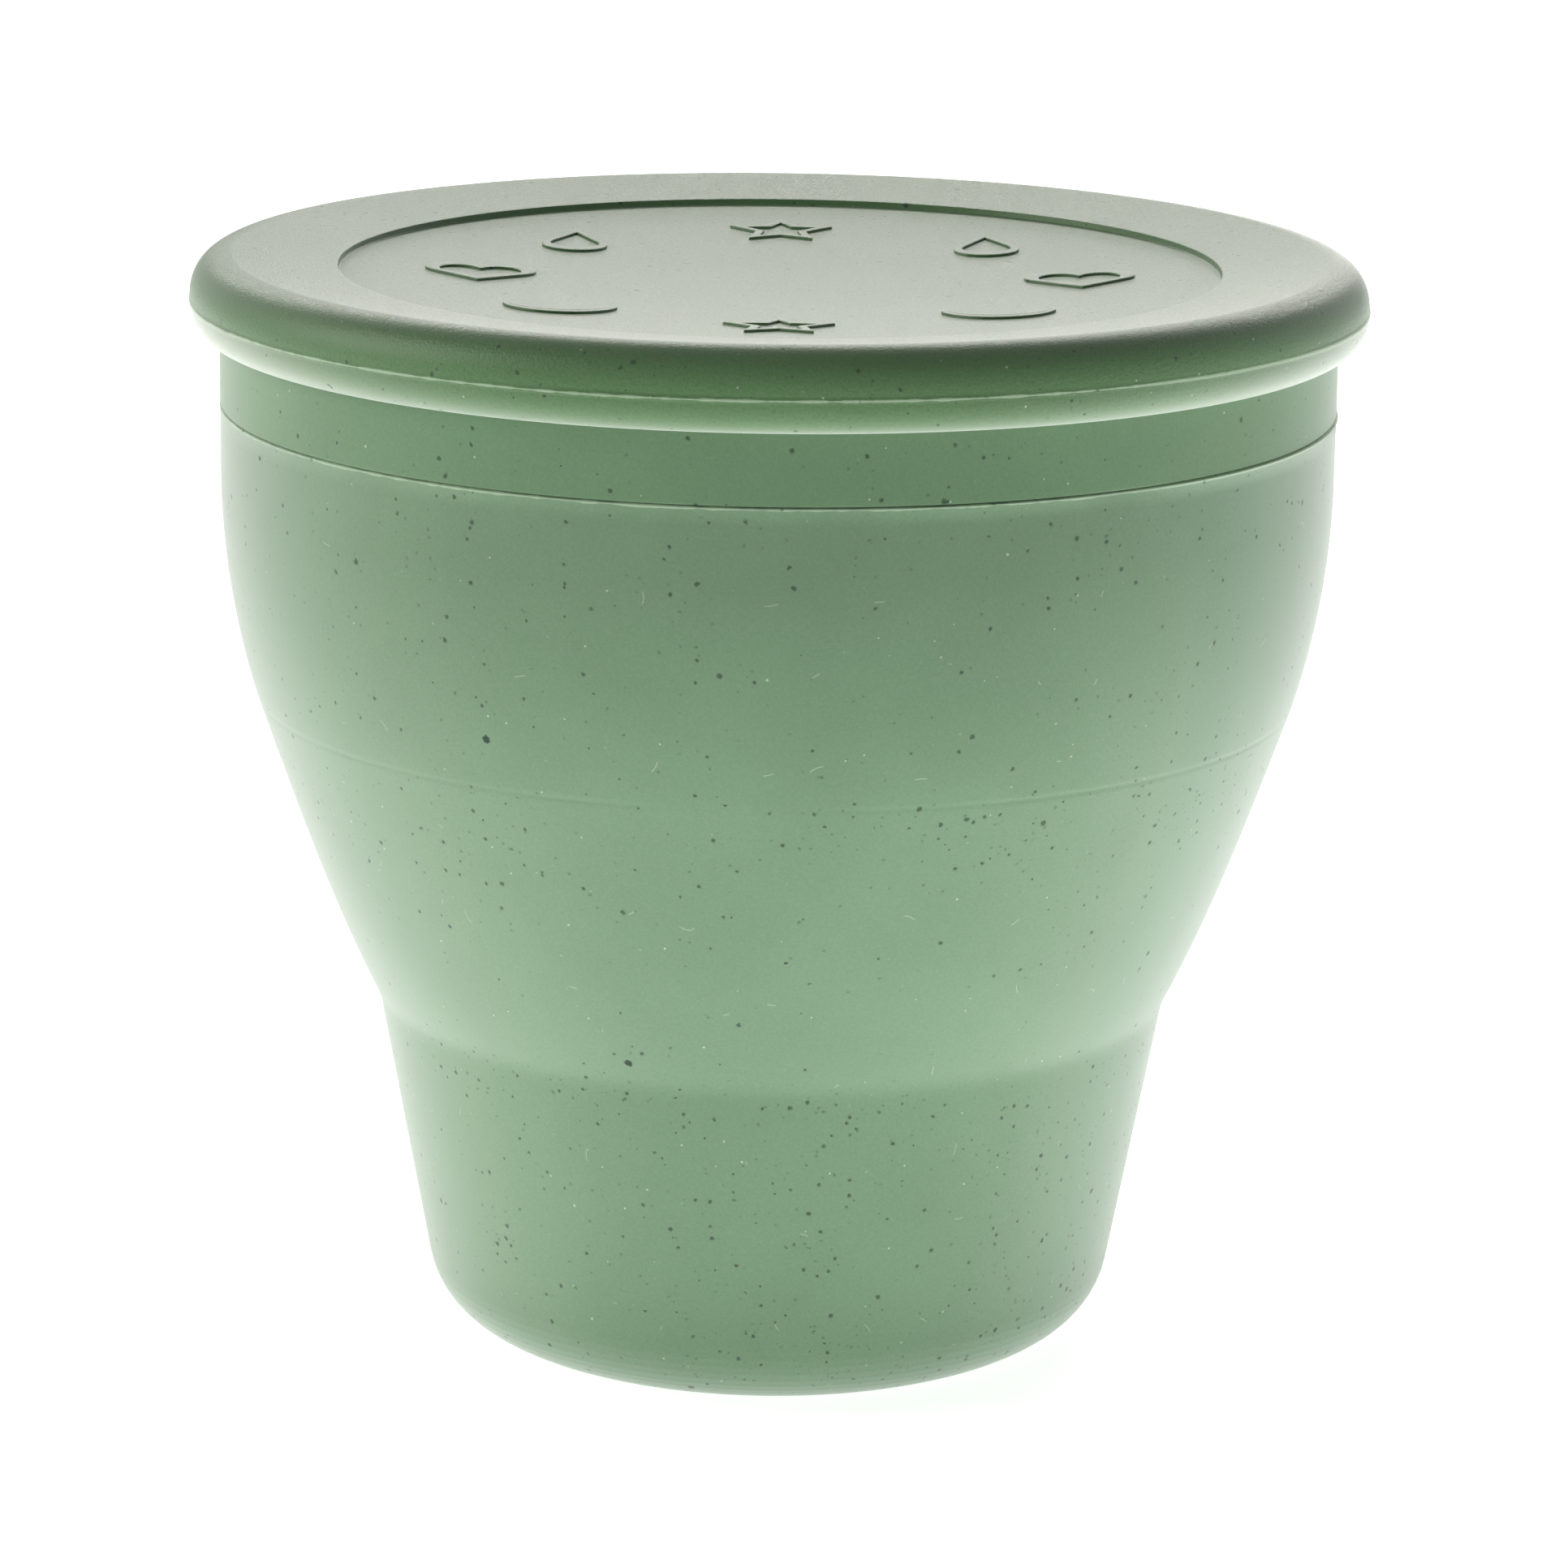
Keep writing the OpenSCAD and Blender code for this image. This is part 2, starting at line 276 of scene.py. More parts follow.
def cup_outside(h):
    """Outer radius at height h: a cone, a fold that curls late, then a circle's arc that ends upright."""
    foot = FOOT_R + (LOWER_R - FOOT_R) * h / LOWER_H
    share = np.clip((UPPER_H - h) / (UPPER_H - LOWER_H), 0, 1)
    rise = (UPPER_H - LOWER_H) * math.tan(FOLD_LEAN)
    fold = UPPER_R - share * rise - (UPPER_R - LOWER_R - rise) * share**FOLD_CURL
    drop = np.clip(BELLY_H - h, 0, BELLY_H - UPPER_H)
    bowl = BOWL_R - BOWL_ARC_R + np.sqrt(BOWL_ARC_R**2 - drop**2)
    return np.where(h < LOWER_H, foot, np.where(h < UPPER_H, fold, bowl))


def cup_wall(h):
    """Wall at height h: full away from the creases, thinning smoothly within CREASE_RUN of each."""
    away = np.minimum(np.abs(h - LOWER_H), np.abs(h - UPPER_H))
    return CREASE_WALL + (CUP_WALL - CREASE_WALL) * ease(away / CREASE_RUN)


print(f"the bowl's arc has a radius of {BOWL_ARC_R:.1f}")

# %% [markdown]
# The section starts at the middle of the hollow under the foot, goes out round the foot's edge, up the
# wall, over the shoulder and the neck, and back down inside to the middle of the floor. Two marks of the
# mould are added to it: a thin uneven ridge at the shoulder, and a hairline in the upper crease.

# %% The cup's section and skin
FLOOR_T, FLOOR_ROUND, FOOT_ROUND, FOOT_RING_W, FOOT_HOLLOW = 2.4, 5.0, 7.0, 9.5, 0.6
SKIRT_WALL, NECK_WALL, GAP, RIDGE_H, CREASE_MARK = 1.5, 1.8, 0.15, 0.3, 0.05
RIDGE_AT = SHOULDER - RIDGE_H / 2
NECK_OUT = BOWL_R - SKIRT_WALL - GAP
NECK_IN = NECK_OUT - NECK_WALL


def soft_corner(h, line, at, reach):
    """The line's radius with a rounded corner at one height: averaged over a window of that reach."""
    offsets = np.linspace(-1, 1, 9)
    near = reach * np.clip(1.2 - np.abs(h - at) / (2 * reach), 0, 1)
    window = np.array([line(h + near * k) for k in offsets])
    return np.average(window, axis=0, weights=1.1 - offsets**2)


FOOT_STEP, FOLD_STEP, BOWL_STEP = 1.3, 0.55, 1.2
AROUND_MARK = np.array([-0.5, -0.32, -0.16, 0, 0.16, 0.32, 0.5, 1, 1.5, 2.2])
wall_heights = np.concatenate([np.arange(FOOT_ROUND + 0.3, LOWER_H - 3, FOOT_STEP),
                               np.arange(LOWER_H - 3, UPPER_H - 0.7, FOLD_STEP),
                               UPPER_H + AROUND_MARK,
                               np.arange(UPPER_H + 3, BELLY_H, BOWL_STEP)])
outer_r = soft_corner(wall_heights, cup_outside, LOWER_H, 0.9)
outer = np.stack([outer_r, wall_heights], -1)
is_inside = (wall_heights > FLOOR_T + FLOOR_ROUND) & (wall_heights < BELLY_H - 1)
inner_heights = wall_heights[is_inside][::-1]
inner = np.stack([cup_outside(inner_heights) - cup_wall(inner_heights), inner_heights], -1)

foot_in = FOOT_R - FOOT_RING_W
foot = rounded([(0, FOOT_HOLLOW), (foot_in - 0.6, FOOT_HOLLOW), (foot_in, 0), (FOOT_R, 0), outer[0]],
               [0, 0.3, 0.3, FOOT_ROUND, 0], 12)
shoulder = rounded([outer[-1], (BOWL_R, BELLY_H), (BOWL_R, SHOULDER), (NECK_OUT, SHOULDER),
                    (NECK_OUT, NECK_TOP), (NECK_IN, NECK_TOP), (NECK_IN, SHOULDER - 0.4),
                    (BOWL_R - CUP_WALL, BELLY_H - 0.5), inner[0]],
                   [0, 0, 0.15, 0.35, 0.85, 0.85, 1.5, 1.5, 0])
floor = rounded([inner[-1], (inner[-1][0] - 1.0, FLOOR_T), (0, FLOOR_T)], [0, FLOOR_ROUND - 0.6, 0], 10)
cup_line = np.concatenate([spaced(foot), outer[1:-1], spaced(shoulder), inner[1:-1], spaced(floor)])

full_ridge = BOWL_RIDGE_R - BOWL_R
strong_on_the_right = full_ridge * ease((np.cos(ROUND) - 0.5) / 0.25)
shoulder_ridge = np.maximum(uneven(ROUND, 3, 0.01, full_ridge), strong_on_the_right)
shoulder_ridge = shoulder_ridge * ridge_rows(cup_line, RIDGE_AT, RIDGE_H / 2, BOWL_R - 0.2)
crease_mark = uneven(ROUND, 7, 0.0, -CREASE_MARK) * ridge_rows(cup_line, UPPER_H, 0.32, UPPER_R - 0.9)
cup_grid = turned(cup_line[1:-1], ROUND, (shoulder_ridge + crease_mark)[1:-1])
cup_skin = surface("cup_skin", cup_grid, poles=((0, 0, FOOT_HOLLOW), (0, 0, FLOOR_T)))
print(f"cup: {len(cup_line)} points along the section, {len(cup_skin.data.polygons)} faces")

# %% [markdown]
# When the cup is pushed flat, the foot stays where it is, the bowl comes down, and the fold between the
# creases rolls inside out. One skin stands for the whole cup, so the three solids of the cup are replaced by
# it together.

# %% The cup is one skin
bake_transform(cup_skin)
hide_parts("cup_base", "fold_band", "cup_bowl")

# %% [markdown]
# ### The snack lid
#
# Its skirt is the band that shows below the cover. Inside, a thin membrane crosses the cup, with an
# eight-sided hole that the flaps fill, and a small round hole at each of its corners, which stops the
# slits between the flaps from tearing. The hole's edge is a formula of the angle.

# %% The hole that the flaps fill
FLAPS, SLIT, SLIT_END_R = 8, 0.35, 1.2
HALF_TURN = math.pi / FLAPS


def hole_edge(angles):
    """Distance from the axis to the hole's edge: flats at FLAP_L, widened by a circle at each corner."""
    off_flat = (angles + HALF_TURN) % (2 * HALF_TURN) - HALF_TURN
    flat = FLAP_L / np.cos(off_flat)
    off_corner = HALF_TURN - np.abs(off_flat)
    corner = FLAP_L / math.cos(HALF_TURN)
    reach = SLIT_END_R**2 - (corner * np.sin(off_corner)) ** 2
    circle = corner * np.cos(off_corner) + np.sqrt(np.clip(reach, 0, None))
    return np.where(reach > 0, np.maximum(flat, circle), flat)


# %% [markdown]
# The lid's section is a closed line: membrane, dish, the lip that goes down inside the cup's neck, the
# skirt outside it, and the rim over both. Only its rows inside the dish move out to the hole's edge.

# %% The snack lid's section and skin
LIP_WALL, LIP_H, GROOVE_T, GROOVE_W = 1.5, 2.4, 0.7, 0.8
SKIRT_IN, LIP_OUT = BOWL_R - SKIRT_WALL, NECK_IN - GAP
DISH_R, RIM_LOW, LIP_LOW = LIP_OUT - LIP_WALL, NECK_TOP + GAP, NECK_TOP - LIP_H
lid_corners = [(FLAP_L, MEMBRANE_LOW), (DISH_R, MEMBRANE_LOW), (DISH_R, LIP_LOW), (LIP_OUT, LIP_LOW),
               (LIP_OUT, RIM_LOW), (SKIRT_IN, RIM_LOW), (SKIRT_IN, SHOULDER), (BOWL_R, SHOULDER),
               (BOWL_R, RIM_TOP), (DISH_R, RIM_TOP), (DISH_R, MEMBRANE_TOP),
               (FLAP_L + GROOVE_W, MEMBRANE_TOP), (FLAP_L, MEMBRANE_TOP - GROOVE_T)]
lid_line = spaced(rounded(lid_corners, [0, 0.4, 0.3, 0.4, 0.3, 0.3, 0.4, 0.18, 0.8, 0.4, 0.4, 0.3, 0]))
lid_angles = np.linspace(0, 2 * np.pi, 720, endpoint=False)
pull = np.clip((DISH_R - 3 - lid_line[:, :1]) / (DISH_R - 3 - FLAP_L), 0, 1)
pull = pull * (lid_line[:, 1:] > LIP_LOW)
lid_grid = turned(lid_line, lid_angles, pull * (hole_edge(lid_angles) - FLAP_L))
snack_lid_skin = surface("snack_lid_skin", lid_grid, wrap_rows=True)
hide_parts("snack_lid")
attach(snack_lid_skin, "snack_lid")
print(f"snack lid: dish {DISH_R:.1f} in radius, {len(snack_lid_skin.data.polygons)} faces")

# %% [markdown]
# Each flap is a rounded slab that narrows to a point. Carrying a flattened ring from the root to the tip
# makes it in one go: the ring's half width is the distance to the slit, less near the root, where the slit's
# end hole bites into the corner. Its top dips into the groove along the root. A flap bends over its first few
# millimetres.

# %% Flaps
TIP = SLIT / 2 / math.sin(HALF_TURN)


def flap_half_width(along):
    """Half the flap's width at a distance from the axis: up to the slit, or to the round hole at its end."""
    slit = along * math.tan(HALF_TURN) - SLIT / 2 / math.cos(HALF_TURN)
    corner = FLAP_L * math.tan(HALF_TURN)
    bite = corner - np.sqrt(np.clip(SLIT_END_R**2 - (FLAP_L - along) ** 2, 0, None))
    return np.clip(np.where(FLAP_L - along < SLIT_END_R, np.minimum(slit, bite), slit), 0.02, None)


def flap_grid(turn):
    """A flat ring carried from root to tip: across = w cos a, up = t sin a, squared off, then turned."""
    along = np.concatenate([[FLAP_L], FLAP_L - np.geomspace(0.03, FLAP_L - TIP, 60)])[:, None]
    ring = np.linspace(0, 2 * np.pi, 72, endpoint=False)
    across = np.sign(np.cos(ring)) * np.abs(np.cos(ring)) ** 0.12
    level = np.sign(np.sin(ring)) * np.abs(np.sin(ring)) ** 0.35
    groove = GROOVE_T * np.clip(1 - (FLAP_L - along) / GROOVE_W, 0, 1)
    thick = MEMBRANE_TOP - MEMBRANE_LOW - groove * (level > 0) * level
    x = along + 0 * ring
    y = flap_half_width(along) * across
    z = MEMBRANE_LOW + (level + 1) / 2 * thick
    c, s = math.cos(turn), math.sin(turn)
    return np.stack([x * c - y * s, x * s + y * c, z], -1)


for number in range(1, FLAPS + 1):
    turn = 2 * HALF_TURN * (number - 1)
    grid = flap_grid(turn)
    flap = surface(f"flap_{number}", grid, poles=(grid[0].mean(0), grid[-1].mean(0)))
    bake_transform(flap)
    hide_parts(f"petal_{number}")
print(f"{FLAPS} flaps, {FLAP_L:.1f} long")

# %% [markdown]
# ### The cover
#
# The cover's edge is a fat rounded bead with the mould's parting line round its widest part. Its top
# falls slightly towards a sunk panel, which is itself a shallow bowl: soft silicone sags a little, and
# that makes the light on it fade from front to rear. Below, a shallow ring plugs the snack lid's dish.

# %% The cover's section and skin
OVERHANG, LINE_H, ROUND_W, PANEL_STEP, TOP_FALL, DISH = 2.4, 2.8, 3.4, 0.45, 1.05, 1.2
PANEL_IN, PLUG_WALL, PLUG_H = 8.7, 1.6, 1.6
COVER_R, COVER_IN = BOWL_R + OVERHANG, BOWL_R + GAP
LINE_AT = COVER_LOW + LINE_H
PANEL_R, PANEL_EDGE = COVER_R - ROUND_W - PANEL_IN, COVER_TOP - TOP_FALL
PANEL = PANEL_EDGE - PANEL_STEP
PLUG_OUT = DISH_R - GAP


def bead(centre, wide, tall, start, end, count, full=1.0):
    """Points on an ellipse's arc between two angles in degrees; full below 1 squares it off a little."""
    a = np.radians(np.linspace(start, end, count))[:, None]
    along = np.clip(np.concatenate([np.cos(a), np.sin(a)], 1), -1, 1)
    return np.asarray(centre) + np.sign(along) * np.abs(along) ** full * (wide, tall)


def panel_height(r):
    """Height of the sunk panel at a radius: a shallow bowl, lower by DISH in the middle than at its edge."""
    return PANEL - DISH * (1 - (r / PANEL_R) ** 2)


def rim_height(r):
    """Height of the top round the panel: it rises outwards by TOP_FALL, and ever more steeply."""
    share = (r - PANEL_R) / (COVER_R - ROUND_W - PANEL_R)
    return PANEL_EDGE + TOP_FALL * share * (0.87 + 0.13 * share)


low_w, half_ridge, plug_in = COVER_R - COVER_IN - 0.2, RIDGE_H / 2, PLUG_OUT - PLUG_WALL
under = rounded([(0, RIM_TOP - DISH), (plug_in, RIM_TOP), (plug_in + 0.4, RIM_TOP - PLUG_H),
                 (PLUG_OUT, RIM_TOP - PLUG_H), (PLUG_OUT, RIM_TOP), (COVER_IN, RIM_TOP),
                 (COVER_IN, COVER_LOW), (COVER_R - low_w, COVER_LOW)], [0, 0.3, 0.4, 0.4, 0.2, 0.5, 0.15, 0])
lower_bead = bead((COVER_R - low_w, LINE_AT - half_ridge), low_w, LINE_H - half_ridge, -90, 0, 22)
upper_bead = bead((COVER_R - ROUND_W, LINE_AT + half_ridge), ROUND_W, COVER_TOP - LINE_AT - half_ridge,
                  0, 90, 34, full=0.9)
rim_radii = np.linspace(COVER_R - ROUND_W, PANEL_R + 0.9, 9)
panel_radii = np.linspace(PANEL_R - 0.8, 0, 24)
step = rounded([(PANEL_R + 0.5, rim_height(PANEL_R + 0.5)), (PANEL_R + 0.1, PANEL_EDGE),
                (PANEL_R, PANEL), (PANEL_R - 0.4, panel_height(PANEL_R - 0.4))], [0, 0.1, 0.12, 0])
top = np.concatenate([np.stack([rim_radii, rim_height(rim_radii)], -1), step,
                      np.stack([panel_radii, panel_height(panel_radii)], -1)])
line_at = [(COVER_R, LINE_AT)]
cover_line = np.concatenate([spaced(under), lower_bead[1:], line_at, upper_bead[:-1], spaced(top)])
cover_ridge = uneven(ROUND, 11, 0.02, COVER_RIDGE_R - COVER_R)
cover_ridge = cover_ridge * ridge_rows(cover_line, LINE_AT, 0.1, COVER_R - 0.2)
cover_skin = surface("cover_skin", turned(cover_line[1:-1], ROUND, cover_ridge[1:-1]),
                     poles=((0, 0, RIM_TOP - DISH), (0, 0, PANEL - DISH)))
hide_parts("cover")
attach(cover_skin, "cover")
print(f"cover {2 * COVER_R:.1f} across, panel {2 * PANEL_R:.1f}")

# %% [markdown]
# ### Raised figures
#
# Eight small figures stand on the panel in a ring: stars, drops, hearts and smiles. Each is a line, the
# band between an outer outline and the same outline drawn smaller. A grid again: one way round the
# outline, the other way over the band, up its outer side, across its top and down its inner side.

# %% Outlines
FIGURE_RING_R, FIGURE_R, FIGURE_LINE, FIGURE_T = PANEL_R - 11.4, 4.6, 1.0, 0.2


def arc(cx, cy, radius, start, end, count):
    """Points on a circle's arc, from one angle to another in degrees."""
    a = np.radians(np.linspace(start, end, count))
    return np.stack([cx + radius * np.cos(a), cy + radius * np.sin(a)], -1)


def star(r):
    """Five points at r and five hollows at half of it, each 36 degrees on."""
    a = np.radians(36 * np.arange(10))
    return np.where(np.arange(10) % 2, r * 0.5, r)[:, None] * np.stack([np.sin(a), np.cos(a)], -1)


def drop(r):
    """A point at the top and a circle's arc below it that its two sides touch."""
    radius, low = r * 0.6, r * 0.4
    touch = math.degrees(math.asin(radius / (r + low)))
    return np.concatenate([[(0, r)], arc(0, -low, radius, 180 - touch, 360 + touch, 13)])


def heart(r):
    """A point at the bottom and two overlapping circles' arcs above it."""
    side, lift = r * 0.49, r * 0.3
    return np.concatenate([[(0, -r * 0.85)], arc(side, lift, r * 0.5, -42, 160, 11),
                           arc(-side, lift, r * 0.5, 20, 222, 11)])


def even(outline, count=160):
    """The closed outline as count points, evenly spread along it, with its own corners kept close by."""
    closed = np.vstack([outline, outline[:1]])
    walked = np.concatenate([[0], np.cumsum(np.linalg.norm(np.diff(closed, axis=0), axis=1))])
    at = np.linspace(0, walked[-1], count, endpoint=False)
    return np.stack([np.interp(at, walked, closed[:, k]) for k in (0, 1)], -1)


def smile_edges():
    """A smile's outline, its lower arc and its upper arc backwards, and the line midway between them."""
    lower = arc(0, FIGURE_R * 0.45, FIGURE_R, 190, 350, 160)
    upper = arc(0, FIGURE_R * 1.05, FIGURE_R * 1.15, 222, 318, 160)
    blunt = np.clip(np.sin(np.linspace(0, np.pi, 160)) * 6, 0.25, 1)[:, None]
    upper = lower + (upper - lower) * blunt
    middle = (lower + upper) / 2
    return np.concatenate([lower, upper[::-1]]), np.concatenate([middle, middle[::-1]])


# %% [markdown]
# The band's own section is a flat top with two rounded shoulders, which runs a little into the panel so
# that no gap shows below it. A smile has no hole, so its inner line is simply its middle line.

# %% Figures on the panel
BAND = np.array([(0, -0.3), (0, 0.75), (0.04, 0.92), (0.14, 1), (0.86, 1), (0.96, 0.92), (1, 0.75),
                 (1, -0.3)])


def raised(name, outside, inside, centre):
    """A band: along the outline, inwards by BAND's first number and up from the panel by its second."""
    share, height = BAND[:, 0, None, None], BAND[:, 1, None] * FIGURE_T
    flat = outside + (inside - outside) * share + centre
    ground = panel_height(np.linalg.norm(flat, axis=-1, keepdims=True))
    grid = np.concatenate([flat, ground + height[..., None]], -1)
    figure = surface(name, grid, wrap_rows=True)
    figure.data.set_sharp_from_angle(angle=math.radians(50))
    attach(figure, "cover")
    return figure


FIGURES = ["star", "drop", "heart", "smile", "star", "smile", "heart", "drop"]
OUTLINES = {"star": (star, 1.6), "drop": (drop, 1.2), "heart": (heart, 1.2)}
for number, kind in enumerate(FIGURES):
    turn = 2 * math.pi * number / len(FIGURES)
    centre = FIGURE_RING_R * np.array([-math.sin(turn), math.cos(turn)])
    if kind == "smile":
        edges = smile_edges()
    else:
        outline, inset = OUTLINES[kind]
        edges = even(outline(FIGURE_R)), even(outline(FIGURE_R - inset * FIGURE_LINE))
    raised(f"figure_{kind}_{number + 1}", *edges, centre)
print("figures:", ", ".join(FIGURES))

# %% [markdown]
# ## The silicone
#
# The material is matte and faintly see-through at its edges. Dark flecks are mixed into it, some near
# the surface and sharp, some deeper and pale, and a little lint and dust sits on it. All of that could
# be painted, but a procedural pattern needs no picture and follows the piece when it bends, because it
# reads the stored rest position. The helpers below only shorten the making of nodes.


# %% Node helpers
def put(tree, kind, **settings):
    """A new node of that kind with those settings."""
    node = tree.nodes.new(kind)
    for name, value in settings.items():
        setattr(node, name, value)
    return node


def feed(tree, socket, value):
    """Gives an input either a link or a plain value."""
    if isinstance(value, bpy.types.NodeSocket):
        tree.links.new(value, socket)
    elif value is not None:
        socket.default_value = value


def calc(tree, operation, *values):
    """A Math node on up to three values."""
    node = put(tree, "ShaderNodeMath", operation=operation)
    for socket, value in zip(node.inputs, values):
        feed(tree, socket, value)
    return node.outputs[0]


def vector(tree, operation, first, second=None, scale=None):
    """A Vector Math node."""
    node = put(tree, "ShaderNodeVectorMath", operation=operation)
    feed(tree, node.inputs[0], first)
    if operation == "SCALE":
        feed(tree, node.inputs["Scale"], scale)
    else:
        feed(tree, node.inputs[1], second)
    return node.outputs["Value" if operation in ("LENGTH", "DOT_PRODUCT") else "Vector"]


def fade(tree, value, start, end, low=0.0, high=1.0):
    """A smooth step: low at start, high at end."""
    node = put(tree, "ShaderNodeMapRange", interpolation_type="SMOOTHSTEP")
    for socket, number in zip(node.inputs, (value, start, end, low, high)):
        feed(tree, socket, number)
    return node.outputs[0]


def tint(tree, factor, below, above):
    """A colour mix: below at 0, above at 1."""
    node = put(tree, "ShaderNodeMix", data_type="RGBA", clamp_factor=True)
    feed(tree, node.inputs["Factor"], factor)
    colours = [socket for socket in node.inputs if socket.type == "RGBA"]
    feed(tree, colours[0], below)
    feed(tree, colours[1], above)
    return next(socket for socket in node.outputs if socket.type == "RGBA")


def product(tree, *values):
    """All the values multiplied."""
    total = values[0]
    for value in values[1:]:
        total = calc(tree, "MULTIPLY", total, value)
    return total


def mixed(tree, factor, low, high):
    """A number between low at 0 and high at 1."""
    node = put(tree, "ShaderNodeMix", data_type="FLOAT")
    for socket, value in zip((node.inputs[0], node.inputs[2], node.inputs[3]), (factor, low, high)):
        feed(tree, socket, value)
    return node.outputs[0]


def axes(tree, place):
    """The x, y and z of a vector."""
    node = put(tree, "ShaderNodeSeparateXYZ")
    feed(tree, node.inputs[0], place)
    return node.outputs


def noise(tree, place, scale, detail=None):
    """Noise with that many features to a unit of place."""
    node = put(tree, "ShaderNodeTexNoise")
    for label, value in (("Vector", place), ("Scale", scale), ("Detail", detail)):
        feed(tree, node.inputs[label], value)
    return node.outputs


def cells(tree, place, **settings):
    """Voronoi cells one unit wide, and the three random numbers of each."""
    node = put(tree, "ShaderNodeTexVoronoi", **settings)
    feed(tree, node.inputs["Vector"], place)
    feed(tree, node.inputs["Scale"], 1.0)
    chance = put(tree, "ShaderNodeSeparateColor")
    feed(tree, chance.inputs[0], node.outputs["Color"])
    return node.outputs, chance.outputs


def group(name, inputs, outputs):
    """A node group with named sockets, and its own input and output nodes."""
    tree = bpy.data.node_groups.new(name, "ShaderNodeTree")
    for label, kind, default in inputs:
        socket = tree.interface.new_socket(label, in_out="INPUT", socket_type=kind)
        if default is not None:
            socket.default_value = default
    for label, kind in outputs:
        tree.interface.new_socket(label, in_out="OUTPUT", socket_type=kind)
    return tree, put(tree, "NodeGroupInput").outputs, put(tree, "NodeGroupOutput").inputs


VECTOR, FLOAT = "NodeSocketVector", "NodeSocketFloat"

# %% [markdown]
# A fleck is a small ball hidden in space, and where the surface cuts it a dot shows. Voronoi cells give
# one such ball each. The cell's random colour decides whether it has a fleck at all and how big it is,
# and a little noise on the position makes the dots ragged.

# %% Flecks
flecks, given, result = group(
    "flecks",
    [("Place", VECTOR, None), ("Spacing", FLOAT, 2.0), ("Radius", FLOAT, 0.15), ("Share", FLOAT, 0.8),
     ("Ragged", FLOAT, 0.1), ("Softness", FLOAT, 0.5)],
    [("Mask", FLOAT)])
place_mm = vector(flecks, "SCALE", given["Place"], scale=1 / MM)
shake = vector(flecks, "SUBTRACT", noise(flecks, place_mm, 3.0)["Color"], (0.5, 0.5, 0.5))
shaken = vector(flecks, "ADD", place_mm, vector(flecks, "SCALE", shake, scale=given["Ragged"]))
per_cell = calc(flecks, "DIVIDE", 1.0, given["Spacing"])
cell, chance = cells(flecks, vector(flecks, "SCALE", shaken, scale=per_cell))
fleck_r = product(flecks, given["Radius"], calc(flecks, "ADD", 0.5, chance[0]))
away = product(flecks, cell["Distance"], given["Spacing"])
inner_edge = product(flecks, fleck_r, calc(flecks, "SUBTRACT", 1.0, given["Softness"]))
there = calc(flecks, "LESS_THAN", chance[1], given["Share"])
feed(flecks, result["Mask"], product(flecks, fade(flecks, away, fleck_r, inner_edge), there))
print("flecks:", len(flecks.nodes), "nodes")

# %% [markdown]
# Lint is a short thread. In each cell of a flat pattern, a thread is a bent line: turn the cell by a
# random angle, then keep only what is within a hair of a shallow curve. The flat pattern is the wall
# unrolled: the way round, times the radius, and the height.

# %% Lint
UNROLLED_R = 40.0
lint, given, result = group(
    "lint", [("Place", VECTOR, None), ("Spacing", FLOAT, 9.0), ("Length", FLOAT, 0.8), ("Width", FLOAT, 0.06),
             ("Share", FLOAT, 0.5)], [("Mask", FLOAT)])
x, y, z = axes(lint, vector(lint, "SCALE", given["Place"], scale=1 / MM))
way_round = product(lint, calc(lint, "ARCTAN2", x, product(lint, y, -1.0)), UNROLLED_R)
flat = put(lint, "ShaderNodeCombineXYZ")
feed(lint, flat.inputs[0], calc(lint, "DIVIDE", way_round, given["Spacing"]))
feed(lint, flat.inputs[1], calc(lint, "DIVIDE", z, given["Spacing"]))
cell, chance = cells(lint, flat.outputs[0], voronoi_dimensions="2D")
from_middle = vector(lint, "SUBTRACT", flat.outputs[0], cell["Position"])
spin = put(lint, "ShaderNodeVectorRotate", rotation_type="Z_AXIS")
feed(lint, spin.inputs["Vector"], vector(lint, "SCALE", from_middle, scale=given["Spacing"]))
feed(lint, spin.inputs["Angle"], product(lint, chance[0], 2 * math.pi))
along, across, _ = axes(lint, spin.outputs[0])
bend = product(lint, along, along, calc(lint, "SUBTRACT", chance[2], 0.5))
off_line = calc(lint, "ABSOLUTE", calc(lint, "SUBTRACT", across, bend))
thread = fade(lint, off_line, given["Width"], product(lint, given["Width"], 0.3))
half_length = product(lint, given["Length"], calc(lint, "ADD", 0.3, chance[2]))
ends = fade(lint, calc(lint, "ABSOLUTE", along), half_length, product(lint, half_length, 0.7))
there = calc(lint, "LESS_THAN", chance[1], given["Share"])
feed(lint, result["Mask"], product(lint, thread, ends, there))
print("lint:", len(lint.nodes), "nodes")

# %% [markdown]
# A moulded silicone skin is not perfectly smooth. It has a fine grain that spreads reflections, and
# broad, barely visible clouds where the pigment is denser. The `skin` group gives both: a cloud value
# for the colour, and a height for the grain.

# %% Skin
skin, given, result = group(
    "skin", [("Place", VECTOR, None), ("Cloud size", FLOAT, 14.0), ("Grain size", FLOAT, 0.22)],
    [("Cloud", FLOAT), ("Grain", FLOAT)])
place_mm = vector(skin, "SCALE", given["Place"], scale=1 / MM)
clouds = noise(skin, place_mm, calc(skin, "DIVIDE", 1.0, given["Cloud size"]), 3.0)
grain = noise(skin, place_mm, calc(skin, "DIVIDE", 1.0, given["Grain size"]), 2.0)
feed(skin, result["Cloud"], clouds[0])
feed(skin, result["Grain"], grain[0])
print("skin:", len(skin.nodes), "nodes")

